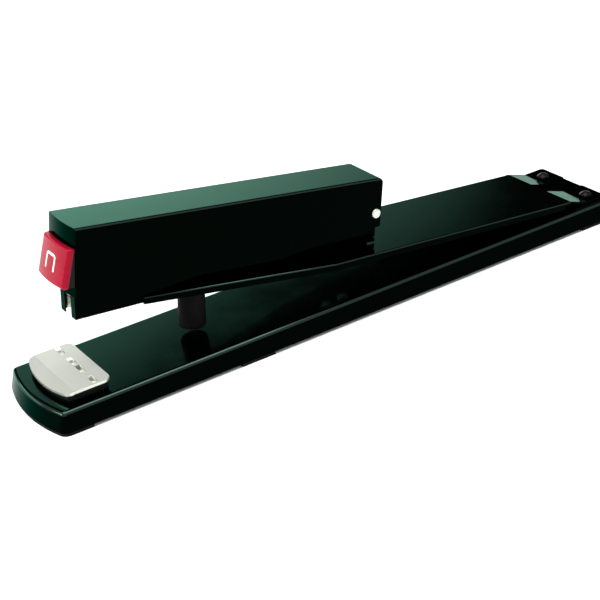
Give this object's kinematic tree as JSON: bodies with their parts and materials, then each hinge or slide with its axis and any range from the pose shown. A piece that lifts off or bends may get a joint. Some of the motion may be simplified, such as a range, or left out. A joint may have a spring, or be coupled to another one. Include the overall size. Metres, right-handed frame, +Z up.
{
  "type": "long-arm stapler",
  "caption": "Long-reach desk stapler: flat steel base with anvil, sprung arm hinged at the rear and a pivoting head with magazine and red nose cap.",
  "frame": {"origin": "centre of the base's footprint on the desk, under the middle of the bounding box", "axes": "+X across the stapler to its right seen from the nose's rear, +Y along it towards the rear hinge, +Z up; the nose points to -Y"},
  "size_m": [0.056, 0.32, 0.0836],
  "materials": {
    "black_paint": "semi-gloss black stoved paint",
    "black_block": "satin black moulding",
    "red_cap": "glossy crimson",
    "nickel": "nickel plate, softly worn",
    "bright_steel": "bright drawn steel",
    "spring_steel": "oiled spring steel",
    "black_screw": "glossy black oxide",
    "black_rubber": "matt black rubber"
  },
  "bodies": {
    "base": {"base_shell": "black_paint", "front_foot": "black_rubber", "middle_feet": "black_rubber", "rear_feet": "black_rubber", "anvil_block": "black_block", "anvil_plate": "nickel", "anvil_rivets": "bright_steel", "hinge_spacer": "black_paint", "arm_feet": "black_paint", "hinge_screws": "black_screw", "hinge_nuts": "bright_steel"},
    "arm": {"arm_channel": "black_paint", "head_bracket": "black_paint", "bracket_rivets": "bright_steel", "magazine_channel": "black_paint", "staple_strip": "bright_steel", "guide_rod": "bright_steel", "pusher_spring": "spring_steel", "pivot_pin": "nickel", "pivot_washers": "bright_steel", "cover_spring": "spring_steel", "buffer_seat": "black_block", "spring_boot": "black_rubber", "return_spring": "spring_steel"},
    "cover": {"head_cover": "black_paint", "cap_seat": "black_block", "front_cap": "red_cap", "driver_blade": "spring_steel", "driver_holder": "bright_steel", "driver_rivets": "bright_steel"},
    "pusher": {"pusher": "bright_steel"}
  },
  "joints": [
    {"name": "arm_hinge", "type": "hinge", "parent": "base", "child": "arm", "pos_m": [0, 0.1434, 0.0149], "axis": [1, 0, 0], "range_deg": [0, 4.9], "stiffness_Nm_per_rad": 40, "springref_deg": -0.62, "deforming": ["spring_boot", "return_spring"]},
    {"name": "head_pivot", "type": "hinge", "parent": "arm", "child": "cover", "pos_m": [0, 0.02004, 0.04248], "axis": [1, 0, 0], "range_deg": [-95, 3.36], "stiffness_Nm_per_rad": 3, "springref_deg": -1.72, "deforming": ["cover_spring"]},
    {"name": "pusher_slide", "type": "slide", "parent": "arm", "child": "pusher", "axis": [0, 0.995, -0.1], "range_m": [0, 0.05], "stiffness_N_per_m": 40, "springref_m": -0.03, "deforming": ["pusher_spring"]}
  ]
}
